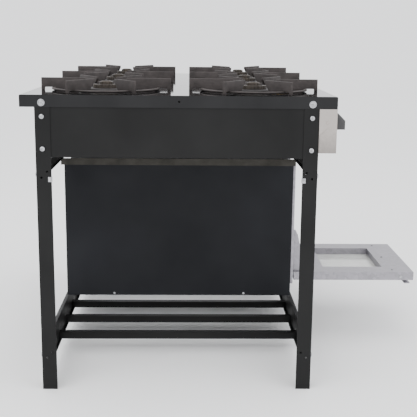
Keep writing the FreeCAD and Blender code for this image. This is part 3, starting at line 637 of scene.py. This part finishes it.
class STAND_OT_knobs(bpy.types.Operator):
    """Fluted knobs with a slant-topped grip and pointer, and the scale ring behind each"""
    bl_idname = "stand.knobs"
    bl_label = "Knobs"

    def knob(self, flutes):
        """Knob with its back on z = 0 and its face towards +Z."""
        body = turned(22.6 * MM, 0, 2.4 * MM, flutes * 4)
        step_up(body, 0.4 * MM, 0.6 * MM)
        step_up(body, 0.4 * MM, 6.4 * MM, 0.74)
        choose(body, lambda middle, normal: 3 * MM < middle.z < 20 * MM and abs(normal.z) < 0.6
               and round(math.atan2(middle.y, middle.x) / math.tau * flutes * 4 - 0.5) % 4 == 0)
        bpy.ops.mesh.extrude_region_move()
        bpy.ops.transform.resize(value=(0.94, 0.94, 1), center_override=(0, 0, 0))
        leave_edit()
        step_up(body, 11 * MM, 1.2 * MM)
        soften(body, 0.35 * MM, 2, 50)
        tip, upper, slope_start = 35.3 * MM, 21.8 * MM, 16 * MM
        grip = block((-3.9 * MM, -20.6 * MM, 2 * MM), (3.9 * MM, upper, tip))
        choose(grip, lambda middle, normal: True)
        bpy.ops.mesh.bisect(plane_co=(0, upper, slope_start), plane_no=(0, 19.3, 19.5), use_fill=True,
                            clear_outer=True)
        choose(grip, lambda middle, normal: normal.z > 0.9)
        bpy.ops.transform.resize(value=(0.8, 1, 1), center_override=(0, 0, tip))
        leave_edit()
        soften(grip, 1.2 * MM, 3)
        stem = turned(3.9 * MM, -6.6 * MM, 2 * MM, 24)
        return weld([body, grip, stem], "knob_pattern")

    def pointer(self):
        line = block((-0.6 * MM, -14 * MM, 34.9 * MM), (0.6 * MM, -2 * MM, 35.45 * MM))
        return soften(line, 0.15 * MM, 1)

    def scale(self):
        """Printed ring and ticks on the panel, round one knob."""
        ring = turned(25.8 * MM, 0, 0.25 * MM, 64)
        carve(ring, turned(25.1 * MM, -MM, MM, 64))
        ticks = []
        for index in range(8):
            end = 29.5 * MM if index % 4 == 0 else 29 * MM
            tick = block((26.4 * MM, -0.4 * MM, 0), (end, 0.4 * MM, 0.25 * MM))
            tick.rotation_euler.z = math.radians(index * 30)
            ticks.append(settle(tick))
        return weld([ring] + ticks, "scale_pattern")

    def execute(self, context):
        knob = self.knob(context.scene.stand_sizes.knob_flutes)
        dress(knob, "knob_plastic")
        pointer, scale = self.pointer(), self.scale()
        dress(pointer, "marking")
        dress(scale, "marking")
        panel_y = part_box("control_panel")[0].y
        for node in [name for name in frame["nodes"] if name.startswith("knob_")]:
            low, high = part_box(node)
            spot = ((low.x + high.x) / 2, panel_y - 1.5 * MM, (low.z + high.z) / 2)
            made = copy_to(knob, place_at(spot, "-y"), f"{node}_moulding")
            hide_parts(node)
            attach(made, f"{node}_body")
            line = copy_to(pointer, place_at(spot, "-y"), f"{node}_pointer")
            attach(line, f"{node}_body")
            face = (spot[0], panel_y + 0.02 * MM, spot[2])
            ring = copy_to(scale, place_at(face, "-y"), f"{node}_scale")
            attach(ring, "stand")
        for pattern in (knob, pointer, scale):
            drop(pattern)
        return {"FINISHED"}


class STAND_OT_panel_ends(bpy.types.Operator):
    """Folded flap and rivet on each end of the control panel"""
    bl_idname = "stand.panel_ends"
    bl_label = "Panel ends"

    def execute(self, context):
        low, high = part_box("panel_ends")
        peak = high.z - 46 * MM
        fold_y = (low.y + high.y) / 2
        made = []
        for sx, x, aim in ((-1, low.x, "-x"), (1, high.x, "+x")):
            near, far = sorted((x - sx * 0.2 * MM, x + sx * 0.9 * MM))
            flap = block((near, low.y + 0.8 * MM, low.z + 0.6 * MM), (far, high.y - 1.5 * MM, peak))
            for lean in (-1, 1):
                choose(flap, lambda middle, normal: True)
                bpy.ops.mesh.bisect(plane_co=(x, fold_y, peak), plane_no=(0, lean * 8, 20),
                                    use_fill=True, clear_outer=True)
                leave_edit()
            if sx > 0:
                inlet = middle("gas_manifold")
                hole = turned(14.5 * MM, -8 * MM, 8 * MM, 40)
                carve(flap, copy_to(hole, place_at((x, inlet.y, inlet.z), "+x")))
                drop(hole)
            made.append(soften(flap, 0.3 * MM))
            head = screw_head(3.2 * MM, 1.6 * MM, 0.01 * MM)
            made.append(copy_to(head, place_at((x, fold_y + 2 * MM, high.z - 33.5 * MM), aim)))
            drop(head)
        whole = weld(made, "panel_end_flaps")
        dress(whole, "panel_steel")
        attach(whole, "stand")
        return {"FINISHED"}


class STAND_OT_oven_trim(bpy.types.Operator):
    """Turned edge of the oven's front frame, and screws in the oven's sides"""
    bl_idname = "stand.oven_trim"
    bl_label = "Oven trim"

    def execute(self, context):
        low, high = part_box("oven_front_frame")
        shell_low, shell_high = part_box("oven_shell")
        strips = []
        for sx, x in ((-1, low.x), (1, high.x)):
            near, far = sorted((x - sx * 0.1 * MM, x + sx * 0.8 * MM))
            strips.append(soften(block((near, low.y, low.z), (far, low.y + 6.5 * MM, high.z)), 0.25 * MM))
        edge = weld(strips, "oven_frame_return")
        dress(edge, "galvanised")
        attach(edge, "stand")
        screw = screw_head(3.4 * MM, 1.8 * MM, 0.9 * MM)
        made = []
        for sx, x, aim in ((-1, shell_low.x, "-x"), (1, shell_high.x, "+x")):
            for share in (0.21, 0.79):
                y = shell_high.y + (shell_low.y - shell_high.y) * share
                made.append(copy_to(screw, place_at((x, y, shell_low.z + 6 * MM), aim)))
        drop(screw)
        screws = weld(made, "oven_side_screws")
        dress(screws, "zinc_plate")
        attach(screws, "stand")
        return {"FINISHED"}


class STAND_OT_door(bpy.types.Operator):
    """Door handle and face screws"""
    bl_idname = "stand.door"
    bl_label = "Door fittings"

    def execute(self, context):
        low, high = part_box("door_handle")
        grip = block((low.x, low.y, low.z), (high.x, high.y, low.z + 4 * MM))
        soften(grip, 1.6 * MM, 3)
        posts = []
        for x in (low.x + 14 * MM, high.x - 14 * MM):
            foot = turned(4.6 * MM, 0, high.z - low.z - 2 * MM, 24)
            step_up(foot, 0, 1.9 * MM, 1.5)
            soften(foot, 0.5 * MM)
            posts.append(copy_to(foot, Matrix.Translation((x, (low.y + high.y) / 2, low.z + 0.1 * MM))))
            drop(foot)
        handle = weld([grip] + posts, "door_handle_strap")
        dress(handle, "galvanised")
        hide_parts("door_handle")
        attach(handle, "oven_door")
        self.screws()
        return {"FINISHED"}

    def screws(self):
        low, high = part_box("door_inner_panel")
        face = screw_head(3.6 * MM, 1.9 * MM, 1.0 * MM)
        spots = [(x, y, high.z - 0.05 * MM) for x in (low.x + 26 * MM, 0.0, high.x - 26 * MM)
                 for y in (low.y + 60 * MM, high.y - 50 * MM)]
        made = [copy_to(face, Matrix.Translation(spot)) for spot in spots]
        drop(face)
        screws = weld(made, "door_face_screws")
        dress(screws, "steel_tube")
        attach(screws, "oven_door")


class STAND_OT_stage(bpy.types.Operator):
    """Pale floor, soft lights and the camera"""
    bl_idname = "stand.stage"
    bl_label = "Stage"

    def execute(self, context):
        self.floor()
        self.lights(context)
        self.camera(context)
        return {"FINISHED"}

    def floor(self):
        clear_selection()
        bpy.ops.mesh.primitive_plane_add(size=14, location=(3.0, 0, 0))
        floor = settle(bpy.context.object)
        floor.name = "floor"
        material, tree, surface, place = blank("pale_floor", Roughness=0.85)
        surface.inputs["Base Color"].default_value = linear("FFFFFF")
        floor.data.materials.append(material)

    def lights(self, context):
        world = bpy.data.worlds.new("studio")
        context.scene.world = world
        world.use_nodes = True
        backdrop = world.node_tree.nodes["Background"]
        backdrop.inputs["Color"].default_value = linear("F4F5F7")
        backdrop.inputs["Strength"].default_value = 1.9
        lamps = (("key", (-2.6, 1.6, 2.8), 2.2, 45), ("fill", (-2.4, -2.2, 1.4), 2.0, 22),
                 ("top", (0.2, 0.2, 3.2), 2.4, 30))
        for name, spot, size, power in lamps:
            clear_selection()
            bpy.ops.object.light_add(type="AREA", location=spot)
            lamp = context.object
            lamp.name = name
            lamp.data.energy = power
            lamp.data.size = size
            aim = Vector((0, 0.1, 0.5)) - Vector(spot)
            lamp.rotation_euler = aim.to_track_quat("-Z", "Y").to_euler()

    def camera(self, context):
        """Square-on to the left end, a little above the top, turned slightly to the front."""
        yaw, pitch, roll = math.radians(-1.38), math.radians(11.82), math.radians(0.56)
        ahead = Vector((math.cos(pitch) * math.cos(yaw), math.cos(pitch) * math.sin(yaw), -math.sin(pitch)))
        right = Vector((math.sin(yaw), -math.cos(yaw), 0))
        up = right.cross(ahead)
        across = right * math.cos(roll) + up * math.sin(roll)
        upward = up * math.cos(roll) - right * math.sin(roll)
        clear_selection()
        bpy.ops.object.camera_add()
        camera = context.object
        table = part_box("table_top_left")
        spot = Vector((table[0].x - 2.077, (table[0].y + table[1].y) / 2 - 0.0243, 0.920))
        turn = Matrix((across, upward, -ahead)).transposed().to_4x4()
        camera.matrix_world = Matrix.Translation(spot) @ turn
        camera.data.lens = 73.0
        camera.data.sensor_width = 36
        context.scene.camera = camera


class STAND_PT_panel(bpy.types.Panel):
    """Lists the steps that build the stand's looks"""
    bl_label = "Burner stand"
    bl_idname = "STAND_PT_panel"
    bl_space_type = "VIEW_3D"
    bl_region_type = "UI"
    bl_category = "Burner stand"

    def draw(self, context):
        for group in (context.scene.stand_sizes, context.scene.stand_colours):
            for name in group.__annotations__:
                self.layout.prop(group, name)
        for step in STEPS:
            self.layout.operator(step.bl_idname)


STEPS = (STAND_OT_finishes, STAND_OT_bolts, STAND_OT_grates, STAND_OT_burners, STAND_OT_knobs,
         STAND_OT_panel_ends, STAND_OT_oven_trim, STAND_OT_door, STAND_OT_stage)
CLASSES = (StandSizes, StandColours) + STEPS + (STAND_PT_panel,)


def register():
    for item in CLASSES:
        bpy.utils.register_class(item)
    bpy.types.Scene.stand_sizes = bpy.props.PointerProperty(type=StandSizes)
    bpy.types.Scene.stand_colours = bpy.props.PointerProperty(type=StandColours)


def unregister():
    del bpy.types.Scene.stand_colours
    del bpy.types.Scene.stand_sizes
    for item in reversed(CLASSES):
        bpy.utils.unregister_class(item)


def main():
    """Register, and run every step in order."""
    register()
    for step in STEPS:
        space, name = step.bl_idname.split(".")
        getattr(getattr(bpy.ops, space), name)()
    clear_selection()


if __name__ == "__main__":
    main()
